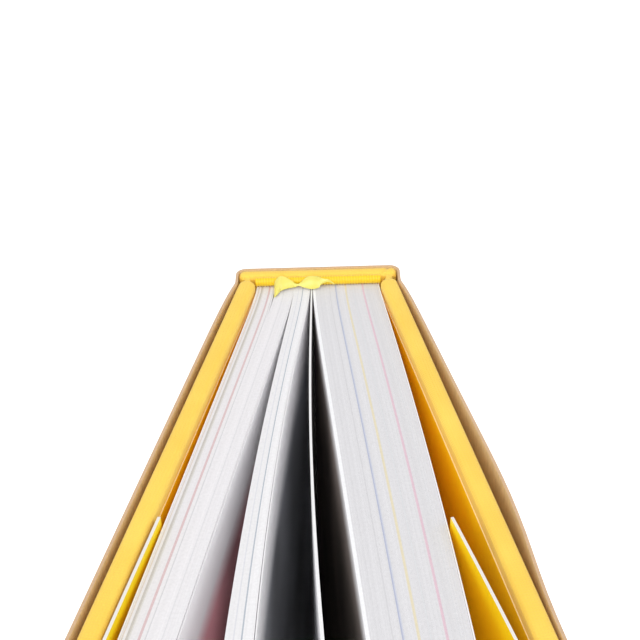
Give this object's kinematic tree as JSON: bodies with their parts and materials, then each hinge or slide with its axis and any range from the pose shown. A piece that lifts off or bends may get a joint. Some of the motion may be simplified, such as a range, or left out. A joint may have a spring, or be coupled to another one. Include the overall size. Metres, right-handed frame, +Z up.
{
  "type": "hardcover photo book",
  "caption": "Cloth-covered hardcover book that stands on its tail with fanned leaves, hinged covers, head and tail bands, a ribbon marker and a folded card jacket.",
  "frame": {"origin": "on the tail edge of the spine, at the middle of its width and thickness", "axes": "+Z up from the tail to the head, +X towards the back cover, -Y from the spine to the fore edge"},
  "size_m": [0.0984, 0.1566, 0.2154],
  "materials": {
    "greyboard": "matte pressed board",
    "cover_cloth": "fine plain-woven book cloth",
    "gauze": "open gauze set in glue",
    "paper": "smooth coated paper",
    "band_silk": "ribbed woven band",
    "ribbon_satin": "satin ribbon",
    "endpaper": "dyed uncoated paper",
    "jacket_card": "kraft-faced card with a white core"
  },
  "bodies": {
    "root": {"spine_board": "greyboard", "spine_cloth": "cover_cloth", "spine_lining": "gauze", "text_block": "paper", "head_band": "band_silk", "tail_band": "band_silk", "ribbon_marker": "ribbon_satin", "front_flyleaf": "endpaper", "back_flyleaf": "endpaper", "jacket_spine": "jacket_card"},
    "front_cover": {"front_board": "greyboard", "front_cloth": "cover_cloth", "front_pastedown": "endpaper", "jacket_front": "jacket_card"},
    "back_cover": {"back_board": "greyboard", "back_cloth": "cover_cloth", "back_pastedown": "endpaper", "jacket_back": "jacket_card"}
  },
  "joints": [
    {"name": "front_hinge", "type": "hinge", "parent": "root", "child": "front_cover", "pos_m": [-0.01885, -0.0036, 0], "axis": [0, 0, -1], "range_deg": [0, 145]},
    {"name": "back_hinge", "type": "hinge", "parent": "root", "child": "back_cover", "pos_m": [0.01885, -0.0036, 0], "axis": [0, 0, 1], "range_deg": [0, 145]}
  ]
}
